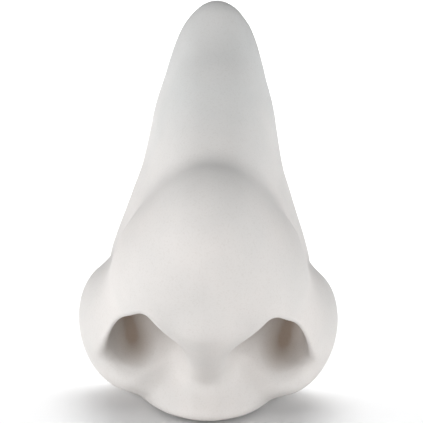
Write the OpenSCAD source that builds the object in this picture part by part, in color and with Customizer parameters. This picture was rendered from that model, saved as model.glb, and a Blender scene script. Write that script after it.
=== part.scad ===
// Eyeglasses stand in the shape of an upturned nose.
// A hollow, slip-cast ceramic form with two nostril hollows stands on four small bumper feet.
// A soft plug closes the drain hole in its base. Spectacles rest across the bridge.
// Front faces -Y, +X is to the right, +Z is up, and the feet stand on z = 0.

/* [Stand] */
// Overall height of the stand
stand_h = 107; // [90:1:130]
// Wall thickness of the hollow casting
wall = 4; // [3:0.5:5]

/* [Nose] */
// Half width at which each nostril wing is centred
wing_x = 21.5; // [20:0.5:23]
// Half width of one nostril wing
wing_r = 12.5; // [11:0.5:14]
// Half width of the ball at the tip
tip_r = 17; // [15:0.5:19]
// How far out from the middle a nostril opens
nostril_out = 25.5; // [23.5:0.5:26]

/* [Base] */
// Diameter of the drain hole that the casting is poured and emptied through
drain_d = 16; // [12:1:16]
// Diameter of a bumper foot
foot_d = 7; // [5:0.5:8]
// Thickness of a bumper foot
foot_h = 1; // [0.8:0.2:2]

/* [Hidden] */

// The form is sculpted at this height and depth, then scaled to stand_h.
sculpt_h = 107;
sculpt_depth = 64.6;
sculpt_reach = 38;
size = stand_h / sculpt_h;
// A point of the sculpt is [across, forward of the flat back, up].
back_y = size * sculpt_depth / 2;
base_z = foot_h / size;

// Side walls: [height, half width at the back]
wall_curve = [[0, 18], [10, 24], [20, 26], [30, 27.5], [38, 27], [43, 25.6], [50, 23.2], [56, 21.2],
              [62, 19.2], [66, 18.3], [72, 17.2], [79, 15.9], [85, 14.2], [92, 11.8], [98, 8.8], [104, 5]];
// Bridge line: [height, how far forward the ridge reaches]
ridge_curve = [[0, 24], [30, 44], [50, 54], [62, 50], [70, 44], [80, 34.5], [88, 26.5], [96, 17], [104, 6]];
bridge_power = 2.2;
bridge_top = 101;
edge_r = 4;
base_r = 2;

drain_at = [0, 17];
// Cells of the sculpted surface, outside and inside
cell = 2.8;
inner_cell = 4;
spare = 4;
base_skin = 0.4;
back_skin = 0.1;
room = 200;
pinch_skin = 0.05;
drain_over = 1;
plug_depth = wall + 1;
plug_fit = 0.2;
// Flange that holds the plug from inside the hollow
flange_gap = 0.3;
flange_h = 1.6;
flange_lip = 1;
foot_edge = 0.6;
foot_rear = [15, 8];
foot_front = [5.5, 28];

// ---- Blending of the sculpted blobs ----

function soft_min(a, b, r) = let (h = max(r - abs(a - b), 0) / r) min(a, b) - h * h * r / 4;
function soft_max(a, b, r) = -soft_min(-a, -b, r);

// Distance to an ellipsoid, near enough close to its surface
function blob(p, at, r) =
    let (q = [(p.x - at.x) / r.x, (p.y - at.y) / r.y, (p.z - at.z) / r.z],
         reach = norm(q),
         slope = norm([q.x / r.x, q.y / r.y, q.z / r.z]))
    reach * (reach - 1) / max(slope, 0.000001);

// Distance to a cone with round ends
function horn(p, a, b, ra, rb) =
    let (run = b - a, t = min(max((p - a) * run / (run * run), 0), 1))
    norm(p - a - t * run) - ra - (rb - ra) * t;

// The point p turned about an axis through c
function pitch(p, c, a) =
    let (u = p.y - c.y, v = p.z - c.z) [p.x, c.y + u * cos(a) + v * sin(a), c.z - u * sin(a) + v * cos(a)];
function yaw(p, c, a) =
    let (u = p.x - c.x, v = p.y - c.y) [c.x + u * cos(a) + v * sin(a), c.y - u * sin(a) + v * cos(a), p.z];
function lean(p, c, a) =
    let (u = p.x - c.x, v = p.z - c.z) [c.x + u * cos(a) + v * sin(a), p.y, c.z - u * sin(a) + v * cos(a)];

// Smooth curve through [station, value] points
function last_below(curve, s, i = 0) =
    i + 2 < len(curve) && curve[i + 1][0] < s ? last_below(curve, s, i + 1) : i;
function rise(curve, i) = (curve[i + 1][1] - curve[i][1]) / (curve[i + 1][0] - curve[i][0]);
function run(curve, i) = curve[i + 1][0] - curve[i][0];
function tangent(curve, i) =
    i == 0 ? rise(curve, 0)
    : i == len(curve) - 1 ? rise(curve, i - 1)
    : (rise(curve, i - 1) * run(curve, i) + rise(curve, i) * run(curve, i - 1))
      / (run(curve, i) + run(curve, i - 1));
function along(curve, s) =
    let (u = min(max(s, curve[0][0]), curve[len(curve) - 1][0]),
         i = last_below(curve, u),
         h = run(curve, i),
         t = (u - curve[i][0]) / h)
    (2 * t ^ 3 - 3 * t ^ 2 + 1) * curve[i][1] + (t ^ 3 - 2 * t ^ 2 + t) * h * tangent(curve, i)
    + (3 * t ^ 2 - 2 * t ^ 3) * curve[i + 1][1] + (t ^ 3 - t ^ 2) * h * tangent(curve, i + 1);

// ---- The sculpt: negative inside the nose, about the distance in millimetres outside ----

// Side walls and ridge, a D-shaped section of half width w and depth r
function bridge(p, w, r) =
    let (n = bridge_power,
         a = p.x / w,
         b = max(p.y, 0) / r,
         sum = a ^ n + b ^ n + 0.000000001,
         reach = sum ^ (1 / n),
         pull = sum ^ (1 / n - 1),
         slope = norm([pull * a ^ (n - 1) / w, pull * b ^ (n - 1) / r]))
    max((reach - 1) / max(slope, 0.5 / max(w, r)), -w);

function crown(p, w, r) =
    soft_min(soft_max(bridge(p, w, r), p.z - bridge_top, 4), blob(p, [0, 6.5, 93.5], [9.5, 7.5, 14.2]), 6);

function tip(p) = blob(pitch(p, [0, 44, 49], -15), [0, 44, 49], [tip_r, 19.5, 22]);
function lobule(p) = blob(p, [12, 37, 38], [13.5, 18.5, 17]);
function wing(p) =
    let (at = [wing_x, 22, 21.5])
    blob(lean(yaw(p, at, 14), at, -8), at, [wing_r, 22, 17.5]);
function front(p) = soft_min(soft_min(tip(p), lobule(p), 14), wing(p), 8);

function columella(p) = horn(p, [0, 34, 15.5], [0, 51, 33], 6.5, 9);
function sill(p) = horn([p.x, p.y, (p.z - 5) * 1.3], [0, 6, 0], [0, 23, 0], 25, 15.5);
function lip(p) = blob(p, [0, 24, 2.5], [13, 18, 7]);

// A nostril rises toward the back from its mouth, between four slanted sides
function mouth(p) =
    let (level = p.z + 0.2 * (p.y - 44) - 34.5,
         inner = soft_max(0.77 * (16.5 - p.x) + 0.64 * level, 6 - p.x, 4),
         outer = soft_max(0.7 * (p.x - 16.5) + 0.71 * level, p.x - nostril_out, 8))
    soft_max(inner, outer, 3) - 1;
function nostril_floor(p) = 0.8 * (10 + 0.7 * (36 - p.y) - p.z);
function septum(p) = 0.82 * (35.5 - 0.3 * (p.z - 11) - 0.6 * (p.x - 7) - p.y);
function nostril(p) =
    soft_max(soft_max(mouth(p), soft_max(nostril_floor(p), septum(p), 6), 6), 22 - p.y, 5);
// The rim is crisp under the tip, and softer toward the wing and the lip
function rim_r(p) = soft_min(1.6 + max(26 - p.z, 0) ^ 2 * p.x / 600, 7, 2);

function solid_nose(p, w, r) =
    soft_min(soft_min(soft_min(crown(p, w, r), front(p), 4), soft_min(sill(p), lip(p), 5), 7),
             columella(p), 4);

function nose(p, w, r, base) =
    soft_max(soft_max(soft_max(solid_nose(p, w, r), -nostril(p), rim_r(p)), -p.y, edge_r),
             base - p.z, base_r);

// The hollow keeps one wall inside the nose, and stays out of the narrow wings
function core(p) =
    soft_min(soft_min(horn(p, [0, 8, 96], [0, 20, 62], 6, 17), blob(p, [0, 32, 56], [20, 26, 17]), 6),
             blob(p, [0, 8, 28], [20, 16, 28]), 6);
function hollow(p, w, r, base) = soft_max(nose(p, w, r, base) + wall / size, core(p), 3);

// ---- The surface where the sculpt has one level, as triangles ----

// Cells across half the width, along the depth and up the height, with one spare all round
function counts(step) =
    [ceil(sculpt_reach / step) + 1,
     ceil((sculpt_depth + spare) / step) + 2,
     ceil((sculpt_h + spare) / step) + 2];
function place(i, j, k, step) = [i, j - 1.5, k - 1.5] * step;

// Samples on one half, because the nose is the same on both sides
function samples(step, base, inside) =
    let (n = counts(step))
    [for (k = [0 : n.z])
        let (z = place(0, 0, k, step).z, w = along(wall_curve, z), r = along(ridge_curve, z))
        for (j = [0 : n.y], i = [0 : n.x])
            let (p = place(i, j, k, step)) inside ? hollow(p, w, r, base) : nose(p, w, r, base)];

// Sample at node (i, j, k), where i runs from -n.x to n.x
function sample(f, n, i, j, k) = f[(k * (n.y + 1) + j) * (n.x + 1) + abs(i)];

// The two neighbours along the sides of each grid square that a sample is a corner of
SQUARES = [for (s = [-1, 1], t = [-1, 1], axes = [[0, 1], [0, 2], [1, 2]])
    [[for (a = [0 : 2]) a == axes[0] ? s : 0], [for (a = [0 : 2]) a == axes[1] ? t : 0]]];

// Whether an outside sample faces another across a square whose other two corners are inside
function pinched(f, n, i, j, k) =
    let (v = sample(f, n, i, j, k))
    v >= 0 && len([for (q = SQUARES)
        let (far = q[0] + q[1], across = sample(f, n, i + far.x, j + far.y, k + far.z))
        if (across >= v && sample(f, n, i + q[0].x, j + q[0].y, k + q[0].z) < 0
            && sample(f, n, i + q[1].x, j + q[1].y, k + q[1].z) < 0) 1]) > 0;

// The samples with each pinched one taken as just inside, so that no edge has four faces
function mended(f, n) =
    [for (k = [0 : n.z], j = [0 : n.y], i = [0 : n.x])
        let (edge = i == n.x || j == 0 || j == n.y || k == 0 || k == n.z)
        !edge && pinched(f, n, i, j, k) ? -pinch_skin : f[(k * (n.y + 1) + j) * (n.x + 1) + i]];

CORNERS = [for (c = [0 : 7]) [c % 2, floor(c / 2) % 2, floor(c / 4)]];
EDGES = [for (a = [0 : 7], b = [0 : 7]) if (norm(CORNERS[b] - CORNERS[a]) == 1 && b > a) [a, b]];

function corner_values(f, n, i, j, k) = [for (c = CORNERS) sample(f, n, i + c.x, j + c.y, k + c.z)];
function crossings(v) =
    [for (e = EDGES) if ((v[e[0]] < 0) != (v[e[1]] < 0))
        let (t = v[e[0]] / (v[e[0]] - v[e[1]])) CORNERS[e[0]] * (1 - t) + CORNERS[e[1]] * t];
function total(list) = [for (x = list) 1] * list;

// One corner of the surface in each cell that it passes through
function cell_points(f, n, step) =
    [for (k = [0 : n.z - 1], j = [0 : n.y - 1], i = [-n.x : n.x - 1])
        let (v = corner_values(f, n, i, j, k))
        min(v) < 0 && max(v) >= 0
            ? let (hits = crossings(v)) place(i, j, k, step) + step * total(hits) / len(hits)
            : undef];

// Number of each used cell among the used cells
function numbering(points) =
    [for (c = 0, used = 0; c < len(points); used = used + (is_undef(points[c]) ? 0 : 1), c = c + 1) used];

function cell_number(n, i, j, k) = (k * n.y + j) * 2 * n.x + i + n.x;

// Two triangles round a grid edge that the surface crosses, from the four cells that share it
function pair(cells, outward) =
    outward ? [[cells[0], cells[1], cells[2]], [cells[0], cells[2], cells[3]]]
            : [[cells[0], cells[2], cells[1]], [cells[0], cells[3], cells[2]]];

function triangles(f, n, number) =
    [for (k = [1 : n.z - 1], j = [1 : n.y - 1], i = [1 - n.x : n.x - 1])
        let (here = sample(f, n, i, j, k) < 0)
        for (axis = [0 : 2])
            let (s = [axis == 0 ? 1 : 0, axis == 1 ? 1 : 0, axis == 2 ? 1 : 0],
                 next = sample(f, n, i + s.x, j + s.y, k + s.z) < 0)
            if (here != next)
                let (u = [s.z, s.x, s.y], w = [s.y, s.z, s.x],
                     cells = [for (o = [u + w, w, [0, 0, 0], u])
                         number[cell_number(n, i - o.x, j - o.y, k - o.z)]])
                for (t = pair(cells, here)) t];

module sculpted(step, base, inside = false) {
    n = counts(step);
    f = mended(samples(step, base, inside), n);
    points = cell_points(f, n, step);
    number = numbering(points);
    flip = [[size, 0, 0], [0, -size, 0], [0, 0, size]];
    polyhedron(points = [for (p = points) if (!is_undef(p)) flip * p + [0, back_y, 0]],
               faces = triangles(f, n, number),
               convexity = 8);
}

// ---- Sub-parts ----

// Where a sculpt position [across, forward] comes in the base plane
function on_base(at) = [size * at.x, back_y - size * at.y, 0];

module nose_shell() {
    color("whitesmoke")
    difference() {
        intersection() {
            sculpted(cell, base_z - base_skin);
            translate([-room / 2, back_y - back_skin - room, foot_h]) cube(room);
        }
        sculpted(inner_cell, base_z, inside = true);
        translate(on_base(drain_at) + [0, 0, foot_h - drain_over])
        cylinder(h = plug_depth + 2 * drain_over, d = drain_d, $fn = 64);
    }
}

module drain_plug() {
    color("dimgray")
    translate(on_base(drain_at) + [0, 0, foot_h]) {
        cylinder(h = plug_depth, d = drain_d - plug_fit, $fn = 64);
        translate([0, 0, wall + flange_gap])
        cylinder(h = flange_h, d1 = drain_d + flange_lip, d2 = drain_d - flange_lip, $fn = 64);
    }
}

// Bumper foot with a domed underside edge
module foot(at) {
    color("lightgray")
    translate(on_base(at))
    rotate_extrude($fn = 48)
    polygon([[0, 0], [foot_d / 2 - foot_edge, 0],
             for (a = [15 : 15 : 75]) [foot_d / 2 - foot_edge * (1 - sin(a)), foot_edge * (1 - cos(a))],
             [foot_d / 2, foot_edge], [foot_d / 2, foot_h], [0, foot_h]]);
}

nose_shell();
drain_plug();
foot([-foot_rear.x, foot_rear.y]);  // foot_rear_left
foot([foot_rear.x, foot_rear.y]);  // foot_rear_right
foot([-foot_front.x, foot_front.y]);  // foot_front_left
foot([foot_front.x, foot_front.y]);  // foot_front_right
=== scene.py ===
"""A nose-shaped eyeglasses stand in matte ceramic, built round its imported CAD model.

The ceramic is sculpted as one smooth implicit form, the same one as in the CAD model, and meshed finely.
Lengths in the sculpt are in millimetres: x across, d forward from the flat back, z up from the table.
"""

import math

import bpy
import numpy as np
from mathutils import Euler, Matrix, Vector

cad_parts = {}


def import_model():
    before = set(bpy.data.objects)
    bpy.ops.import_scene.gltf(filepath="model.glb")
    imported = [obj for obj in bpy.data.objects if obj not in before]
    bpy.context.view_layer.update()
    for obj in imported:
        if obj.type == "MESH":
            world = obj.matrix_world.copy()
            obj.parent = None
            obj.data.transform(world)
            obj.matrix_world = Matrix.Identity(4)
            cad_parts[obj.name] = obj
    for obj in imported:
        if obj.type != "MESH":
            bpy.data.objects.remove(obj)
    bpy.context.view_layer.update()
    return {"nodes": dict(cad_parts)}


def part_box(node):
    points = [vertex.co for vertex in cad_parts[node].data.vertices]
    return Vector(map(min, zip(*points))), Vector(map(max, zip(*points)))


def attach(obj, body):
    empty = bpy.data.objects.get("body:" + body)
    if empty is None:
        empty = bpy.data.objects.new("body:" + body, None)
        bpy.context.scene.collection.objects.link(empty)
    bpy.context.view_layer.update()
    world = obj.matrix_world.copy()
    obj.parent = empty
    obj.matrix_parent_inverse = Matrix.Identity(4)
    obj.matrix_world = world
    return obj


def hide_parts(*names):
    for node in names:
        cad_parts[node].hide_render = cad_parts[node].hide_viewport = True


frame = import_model()

MM = 0.001
SHELL_LOW, SHELL_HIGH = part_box("nose_shell")
PLUG_LOW, PLUG_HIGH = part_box("drain_plug")
BACK_SKIN = 0.1
BACK_Y = SHELL_HIGH.y / MM + BACK_SKIN
BASE_Z = SHELL_LOW.z / MM
# The drain hole is centred on its plug, and just clears it
DRAIN_D = BACK_Y - (PLUG_LOW.y + PLUG_HIGH.y) / 2 / MM
DRAIN_R = 8.15
DRAIN_DEPTH = 6
# Cell of the fine surface
CELL = 0.7


# ---- Blending of the sculpted blobs ----

def soft_min(a, b, r):
    """The smaller of two distances, with a blend of width r where they meet."""
    h = np.maximum(r - np.abs(a - b), 0) / r
    return np.minimum(a, b) - h * h * r / 4


def soft_max(a, b, r):
    return -soft_min(-a, -b, r)


def blob(p, at, r):
    """Distance to an ellipsoid, near enough close to its surface."""
    q = [(p[i] - at[i]) / r[i] for i in range(3)]
    reach = np.sqrt(q[0] ** 2 + q[1] ** 2 + q[2] ** 2)
    slope = np.sqrt(sum((q[i] / r[i]) ** 2 for i in range(3)))
    return reach * (reach - 1) / np.maximum(slope, 1e-6)


def horn(p, a, b, ra, rb):
    """Distance to a cone with round ends."""
    run = [b[i] - a[i] for i in range(3)]
    off = [p[i] - a[i] for i in range(3)]
    t = np.clip(sum(off[i] * run[i] for i in range(3)) / sum(v * v for v in run), 0, 1)
    return np.sqrt(sum((off[i] - t * run[i]) ** 2 for i in range(3))) - ra - (rb - ra) * t


def turned(p, at, degrees, first, second):
    """The point p turned in the plane of two of its coordinates about the point at."""
    c, s = math.cos(math.radians(degrees)), math.sin(math.radians(degrees))
    u, v = p[first] - at[first], p[second] - at[second]
    q = list(p)
    q[first] = at[first] + u * c + v * s
    q[second] = at[second] - u * s + v * c
    return q


def along(curve, s):
    """Smooth curve through (station, value) points."""
    k, v = (np.array(column, float) for column in zip(*curve))
    run, rise = np.diff(k), np.diff(v) / np.diff(k)
    tangent = np.concatenate([rise[:1], (rise[:-1] * run[1:] + rise[1:] * run[:-1]) / (run[1:] + run[:-1]),
                              rise[-1:]])
    s = np.clip(s, k[0], k[-1])
    i = np.clip(np.searchsorted(k, s) - 1, 0, len(k) - 2)
    h = run[i]
    t = (s - k[i]) / h
    return ((2 * t ** 3 - 3 * t ** 2 + 1) * v[i] + (t ** 3 - 2 * t ** 2 + t) * h * tangent[i]
            + (3 * t ** 2 - 2 * t ** 3) * v[i + 1] + (t ** 3 - t ** 2) * h * tangent[i + 1])


# ---- The sculpt: negative inside the nose ----

WALL_CURVE = [(0, 18), (10, 24), (20, 26), (30, 27.5), (38, 27), (43, 25.6), (50, 23.2), (56, 21.2),
              (62, 19.2), (66, 18.3), (72, 17.2), (79, 15.9), (85, 14.2), (92, 11.8), (98, 8.8), (104, 5)]
RIDGE_CURVE = [(0, 24), (30, 44), (50, 54), (62, 50), (70, 44), (80, 34.5), (88, 26.5), (96, 17), (104, 6)]


def bridge(p, n=2.2):
    """Side walls and ridge, a D-shaped section at each height."""
    w, r = along(WALL_CURVE, p[2]), along(RIDGE_CURVE, p[2])
    a, b = p[0] / w, np.maximum(p[1], 0) / r
    total = a ** n + b ** n + 1e-9
    pull = total ** (1 / n - 1)
    slope = np.hypot(pull * a ** (n - 1) / w, pull * b ** (n - 1) / r)
    return np.maximum((total ** (1 / n) - 1) / np.maximum(slope, 0.5 / np.maximum(w, r)), -w)


def solid_nose(p):
    """The nose before its nostrils, flat back and base are cut."""
    crown = soft_min(soft_max(bridge(p), p[2] - 101, 4), blob(p, (0, 6.5, 93.5), (9.5, 7.5, 14.2)), 6)
    tip = blob(turned(p, (0, 44, 49), -15, 1, 2), (0, 44, 49), (17, 19.5, 22))
    lobule = blob(p, (12, 37, 38), (13.5, 18.5, 17))
    wing_at = (21.5, 22, 21.5)
    wing = blob(turned(turned(p, wing_at, 14, 0, 1), wing_at, -8, 0, 2), wing_at, (12.5, 22, 17.5))
    front = soft_min(soft_min(tip, lobule, 14), wing, 8)
    columella = horn(p, (0, 34, 15.5), (0, 51, 33), 6.5, 9)
    sill = horn((p[0], p[1], (p[2] - 5) * 1.3), (0, 6, 0), (0, 23, 0), 25, 15.5)
    lip = blob(p, (0, 24, 2.5), (13, 18, 7))
    body = soft_min(soft_min(crown, front, 4), soft_min(sill, lip, 5), 7)
    return soft_min(body, columella, 4)


def nostril(p):
    """A hollow that rises toward the back from its mouth, between four slanted sides."""
    peak_x, peak_z = 16.5, 34.5
    inner_x, outer_x = 6, 25.5
    level = p[2] + 0.2 * (p[1] - 44) - peak_z
    inner = soft_max(0.77 * (peak_x - p[0]) + 0.64 * level, inner_x - p[0], 4)
    outer = soft_max(0.7 * (p[0] - peak_x) + 0.71 * level, p[0] - outer_x, 8)
    mouth = soft_max(inner, outer, 3) - 1
    ground = 0.8 * (10 + 0.7 * (36 - p[1]) - p[2])
    septum = 0.82 * (35.5 - 0.3 * (p[2] - 11) - 0.6 * (p[0] - 7) - p[1])
    return soft_max(soft_max(mouth, soft_max(ground, septum, 6), 6), 22 - p[1], 5)


def nose(x, d, z):
    """The whole sculpt. Its rims are crisp under the tip, and softer toward the wing and the lip."""
    edge_r, base_r, drain_r = 4, 2, 0.8
    p = (np.abs(x), d, z)
    rim = soft_min(1.6 + np.maximum(26 - z, 0) ** 2 * p[0] / 600, 7.0, 2)
    carved = soft_max(soft_max(solid_nose(p), -nostril(p), rim), -d, edge_r)
    standing = soft_max(carved, BASE_Z - z, base_r)
    drain = np.maximum(np.hypot(x, d - DRAIN_D) - DRAIN_R, z - BASE_Z - DRAIN_DEPTH)
    return soft_max(standing, -drain, drain_r)


def nostril_painted_shade(x, d, z):
    """How deep a spot lies in a nostril, from 0 at the rim to 1, used for painted shade in the nostrils.
    """
    full_depth, reach = 14, 1.5
    p = (np.abs(x), d, z)
    return np.clip(-solid_nose(p) / full_depth, 0, 1) * np.clip(reach - nostril(p), 0, 1)


# ---- Meshing ----

def surface_net(f, low, high, cell):
    """The surface f = 0 as quads: one point in each cell that it passes through."""
    n = [int(math.ceil((high[i] - low[i]) / cell)) + 1 for i in range(3)]
    axes = [low[i] + cell * np.arange(n[i]) for i in range(3)]
    value = f(*np.meshgrid(*axes, indexing="ij"))
    inside = value < 0
    corners = [(i, j, k) for i in (0, 1) for j in (0, 1) for k in (0, 1)]
    count = sum(inside[i:n[0] - 1 + i, j:n[1] - 1 + j, k:n[2] - 1 + k].astype(int) for i, j, k in corners)
    cells = np.argwhere((count > 0) & (count < 8))
    number = np.full(count.shape, -1)
    number[tuple(cells.T)] = np.arange(len(cells))
    total, hits = np.zeros((len(cells), 3)), np.zeros(len(cells))
    for a in corners:
        for b in corners:
            step = np.subtract(b, a)
            if step.sum() != 1 or step.min() < 0:
                continue
            fa, fb = value[tuple((cells + a).T)], value[tuple((cells + b).T)]
            cut = (fa < 0) != (fb < 0)
            t = np.where(cut, fa / np.where(cut, fa - fb, 1), 0)
            total += (np.array(a) + t[:, None] * step) * cut[:, None]
            hits += cut
    points = (cells + total / hits[:, None]) * cell + np.array(low)
    quads = []
    for axis, (u, w) in enumerate(((1, 2), (2, 0), (0, 1))):
        near, far = [slice(1, -1)] * 3, [slice(1, -1)] * 3
        near[axis], far[axis] = slice(0, -1), slice(1, None)
        here, there = inside[tuple(near)], inside[tuple(far)]
        edges = np.argwhere(here != there)
        at = edges.copy()
        at[:, u] += 1
        at[:, w] += 1
        ring = []
        for du, dw in ((1, 1), (0, 1), (0, 0), (1, 0)):
            q = at.copy()
            q[:, u] -= du
            q[:, w] -= dw
            ring.append(number[tuple(q.T)])
        quad = np.stack(ring, 1)
        flip = ~here[tuple(edges.T)]
        quad[flip] = quad[flip][:, ::-1]
        quads.append(quad)
    return points, np.concatenate(quads)


def settled(f, points, rounds=4, eps=0.05):
    """The points moved along the slope of f until they lie on its surface."""
    for _ in range(rounds):
        rises = [f(*(points + e).T) - f(*(points - e).T) for e in np.eye(3) * eps]
        slope = np.stack([rise / (2 * eps) for rise in rises], 1)
        step = f(*points.T)[:, None] * slope / np.maximum((slope ** 2).sum(1), 1e-4)[:, None]
        length = np.linalg.norm(step, axis=1, keepdims=True)
        points = points - step * np.minimum(1, 0.5 / np.maximum(length, 1e-9))
    return points


def mesh_object(name, points, faces, material):
    mesh = bpy.data.meshes.new(name)
    mesh.from_pydata(points.tolist(), [], faces.tolist())
    mesh.update()
    mesh.shade_smooth()
    mesh.materials.append(material)
    piece = bpy.data.objects.new(name, mesh)
    bpy.context.scene.collection.objects.link(piece)
    return piece


# ---- Materials ----

def new_material(name):
    material = bpy.data.materials.new(name)
    material.use_nodes = True
    return material, material.node_tree.nodes, material.node_tree.links


def noise(nodes, links, coords, scale, detail, roughness=0.5):
    node = nodes.new("ShaderNodeTexNoise")
    node.inputs["Scale"].default_value = scale
    node.inputs["Detail"].default_value = detail
    node.inputs["Roughness"].default_value = roughness
    links.new(coords.outputs["Object"], node.inputs["Vector"])
    return node


def ramp(nodes, links, source, stops):
    node = nodes.new("ShaderNodeValToRGB")
    for place, _ in stops[2:]:
        node.color_ramp.elements.new(place)
    for stop, (place, colour) in zip(node.color_ramp.elements, stops):
        stop.position = place
        stop.color = (*colour, 1)
    links.new(source, node.inputs["Fac"])
    return node


def mixed(nodes, links, kind, amount, first, second):
    node = nodes.new("ShaderNodeMix")
    node.data_type = "RGBA"
    node.blend_type = kind
    if isinstance(amount, float):
        node.inputs["Factor"].default_value = amount
    else:
        links.new(amount, node.inputs["Factor"])
    links.new(first, node.inputs["A"])
    links.new(second, node.inputs["B"])
    return node.outputs["Result"]


def bumped(nodes, links, height, strength, distance, under=None):
    node = nodes.new("ShaderNodeBump")
    node.inputs["Strength"].default_value = strength
    node.inputs["Distance"].default_value = distance
    links.new(height, node.inputs["Height"])
    if under is not None:
        links.new(under, node.inputs["Normal"])
    return node.outputs["Normal"]


def ceramic():
    """Unglazed slip-cast body: soft clouds, fine speckle and grain.

    It has painted shade: cooler and darker toward the top, and darker and warmer inside the nostrils.
    """
    material, nodes, links = new_material("bisque_ceramic")
    shader = nodes["Principled BSDF"]
    coords = nodes.new("ShaderNodeTexCoord")
    clouds = noise(nodes, links, coords, 32, 4, 0.55)
    tint = ramp(nodes, links, clouds.outputs["Fac"],
                [(0.36, (0.655, 0.643, 0.630)), (0.62, (0.715, 0.690, 0.672))])
    speckle = noise(nodes, links, coords, 2200, 2)
    dots = ramp(nodes, links, speckle.outputs["Fac"], [(0.30, (0.955, 0.948, 0.94)), (0.48, (1, 1, 1))])
    colour = mixed(nodes, links, "MULTIPLY", 1.0, tint.outputs["Color"], dots.outputs["Color"])
    # Painted shade by height: warmer low down, cooler and darker toward the top
    split = nodes.new("ShaderNodeSeparateXYZ")
    links.new(coords.outputs["Object"], split.inputs["Vector"])
    height = nodes.new("ShaderNodeMapRange")
    height.inputs["From Min"].default_value = 0.055
    height.inputs["From Max"].default_value = 0.105
    links.new(split.outputs["Z"], height.inputs["Value"])
    height_painted_shade = ramp(nodes, links, height.outputs["Result"],
                 [(0.0, (1, 0.985, 0.972)), (0.62, (0.965, 0.985, 0.985)), (1.0, (0.80, 0.82, 0.825))])
    colour = mixed(nodes, links, "MULTIPLY", 1.0, colour, height_painted_shade.outputs["Color"])
    # Painted shade: darker and warmer deeper in the nostrils
    depth = nodes.new("ShaderNodeAttribute")
    depth.attribute_name = "nostril_painted_shade"
    shade = ramp(nodes, links, depth.outputs["Fac"], [(0.36, (1, 1, 1)), (1.0, (0.46, 0.38, 0.32))])
    colour = mixed(nodes, links, "MULTIPLY", 1.0, colour, shade.outputs["Color"])
    links.new(colour, shader.inputs["Base Color"])
    patches = noise(nodes, links, coords, 140, 3)
    matt = nodes.new("ShaderNodeMapRange")
    matt.inputs["To Min"].default_value = 0.52
    matt.inputs["To Max"].default_value = 0.72
    links.new(patches.outputs["Fac"], matt.inputs["Value"])
    links.new(matt.outputs["Result"], shader.inputs["Roughness"])
    swell = noise(nodes, links, coords, 70, 2)
    grain = noise(nodes, links, coords, 1600, 3, 0.6)
    rolling = bumped(nodes, links, swell.outputs["Fac"], 0.10, 0.0012)
    links.new(bumped(nodes, links, grain.outputs["Fac"], 0.16, 0.00015, rolling), shader.inputs["Normal"])
    return material


def silicone(name, dark, light):
    """Moulded silicone: faint cloudiness, dust specks and a fine satin texture."""
    material, nodes, links = new_material(name)
    shader = nodes["Principled BSDF"]
    coords = nodes.new("ShaderNodeTexCoord")
    cloud = noise(nodes, links, coords, 300, 3)
    colour = ramp(nodes, links, cloud.outputs["Fac"], [(0.3, dark), (0.7, light)])
    specks = noise(nodes, links, coords, 2500, 1)
    dust = ramp(nodes, links, specks.outputs["Fac"], [(0.66, (1, 1, 1)), (0.74, (1.0, 0.98, 0.94))])
    links.new(mixed(nodes, links, "MULTIPLY", 1.0, colour.outputs["Color"], dust.outputs["Color"]),
              shader.inputs["Base Color"])
    satin = nodes.new("ShaderNodeMapRange")
    satin.inputs["To Min"].default_value = 0.38
    satin.inputs["To Max"].default_value = 0.55
    links.new(cloud.outputs["Fac"], satin.inputs["Value"])
    links.new(satin.outputs["Result"], shader.inputs["Roughness"])
    shader.inputs["Subsurface Weight"].default_value = 0.15
    shader.inputs["Subsurface Scale"].default_value = 0.002
    links.new(bumped(nodes, links, specks.outputs["Fac"], 0.08, 0.0001), shader.inputs["Normal"])
    return material


# ---- Pieces ----

CERAMIC = ceramic()
PLUG_SILICONE = silicone("plug_silicone", (0.50, 0.49, 0.47), (0.58, 0.57, 0.55))
FOOT_SILICONE = silicone("foot_silicone", (0.60, 0.60, 0.58), (0.70, 0.70, 0.68))


def build_nose():
    low, high = (-38, -2 * CELL, BASE_Z - 2 * CELL), (38, 68, 110)
    points, quads = surface_net(nose, low, high, CELL)
    points = settled(nose, points)
    placed = np.stack([points[:, 0], BACK_Y - points[:, 1], points[:, 2]], 1) * MM
    # The fine surface just fills the box of the coarser CAD one
    near, far = placed.min(0), placed.max(0)
    shell_low, shell_high = np.array(SHELL_LOW), np.array(SHELL_HIGH)
    placed = shell_low + (placed - near) * (shell_high - shell_low) / (far - near)
    piece = mesh_object("ceramic_nose", placed, quads[:, ::-1], CERAMIC)
    # Nostril depth at each point, which the material turns into painted shade
    painted_shade_attribute = piece.data.attributes.new("nostril_painted_shade", "FLOAT", "POINT")
    painted_shade_attribute.data.foreach_set("value", nostril_painted_shade(*points.T).astype(np.float32))
    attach(piece, "root")
    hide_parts("nose_shell")


build_nose()
for name, node in frame["nodes"].items():
    if name != "nose_shell":
        node.data.materials.clear()
        node.data.materials.append(PLUG_SILICONE if name == "drain_plug" else FOOT_SILICONE)


# ---- Stage ----

def floor():
    material, nodes, links = new_material("floor")
    shader = nodes["Principled BSDF"]
    shader.inputs["Base Color"].default_value = (0.8, 0.8, 0.8, 1)
    shader.inputs["Roughness"].default_value = 0.9
    half, z = 4.0, -0.0001
    corners = np.array([(-half, -half, z), (half, -half, z), (half, half, z), (-half, half, z)])
    piece = mesh_object("floor", corners, np.array([[0, 1, 2, 3]]), material)
    return piece


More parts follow.
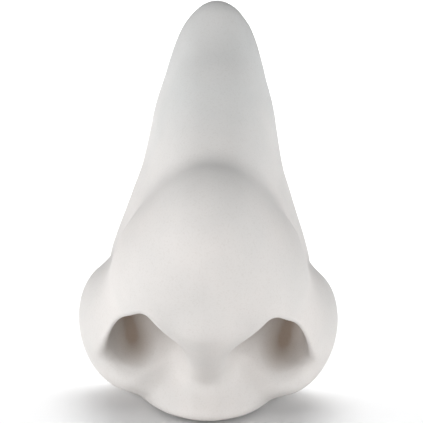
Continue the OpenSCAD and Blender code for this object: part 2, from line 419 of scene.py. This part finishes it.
def camera(azimuth, elevation, distance, focal, target, roll):
    """A camera that looks at target, turned by roll about its line of sight."""
    data = bpy.data.cameras.new("camera")
    data.lens = focal
    data.sensor_width = 36
    data.clip_start = 0.01
    piece = bpy.data.objects.new("camera", data)
    az, el = math.radians(azimuth), math.radians(elevation)
    away = Vector((math.sin(az) * math.cos(el), -math.cos(az) * math.cos(el), math.sin(el)))
    piece.location = target + distance * away
    turn = (-away).to_track_quat("-Z", "Y").to_matrix() @ Euler((0, 0, math.radians(roll))).to_matrix()
    piece.rotation_euler = turn.to_euler()
    bpy.context.scene.collection.objects.link(piece)
    bpy.context.scene.camera = piece


def softbox(name, place, size, power, colour):
    """A rectangular lamp, out of the camera's sight, that faces the middle of the stand."""
    middle = Vector((0, 0, 0.06))
    data = bpy.data.lights.new(name, "AREA")
    data.shape = "RECTANGLE"
    data.size, data.size_y = size
    data.energy = power
    data.color = colour
    piece = bpy.data.objects.new(name, data)
    piece.location = place
    piece.rotation_euler = (middle - Vector(place)).to_track_quat("-Z", "Y").to_euler()
    piece.visible_camera = False
    bpy.context.scene.collection.objects.link(piece)
    return piece


def world(level, overhead, colour):
    """Soft light all round, dimmer from straight above."""
    scene_world = bpy.data.worlds.new("studio")
    scene_world.use_nodes = True
    nodes, links = scene_world.node_tree.nodes, scene_world.node_tree.links
    coords = nodes.new("ShaderNodeTexCoord")
    split = nodes.new("ShaderNodeSeparateXYZ")
    fade = nodes.new("ShaderNodeMapRange")
    fade.inputs["From Min"].default_value = 0
    fade.inputs["From Max"].default_value = 0.8
    fade.inputs["To Min"].default_value = level
    fade.inputs["To Max"].default_value = overhead
    background = nodes["Background"]
    background.inputs["Color"].default_value = (*colour, 1)
    links.new(coords.outputs["Generated"], split.inputs["Vector"])
    links.new(split.outputs["Z"], fade.inputs["Value"])
    links.new(fade.outputs["Result"], background.inputs["Strength"])
    bpy.context.scene.world = scene_world


ground = floor()
camera(azimuth=0, elevation=12, distance=0.6, focal=197.1, target=Vector((0, 0, 0.0552)), roll=1.7)
softbox("front", (-0.3, -1.4, 0.13), (0.8, 0.45), 6.4, (1, 0.98, 0.97))
softbox("side_left", (-1.5, -0.5, 0.4), (1.0, 0.8), 13.2, (0.97, 0.985, 1))
softbox("side_right", (1.5, -0.5, 0.4), (1.0, 0.8), 10.8, (0.97, 0.985, 1))
# A lamp straight above, which lights only the floor
sheet = softbox("floor_wash", (0, 0.75, 1.0), (1.6, 1.2), 14, (1, 1, 1))
sheet.rotation_euler = (0, 0, 0)
sheet.data.spread = math.radians(80)
lit = bpy.data.collections.new("lit_floor")
lit.objects.link(ground)
sheet.light_linking.receiver_collection = lit
world(0.5, 0.3, (0.97, 0.985, 1))
bpy.context.scene.view_settings.view_transform = "Standard"
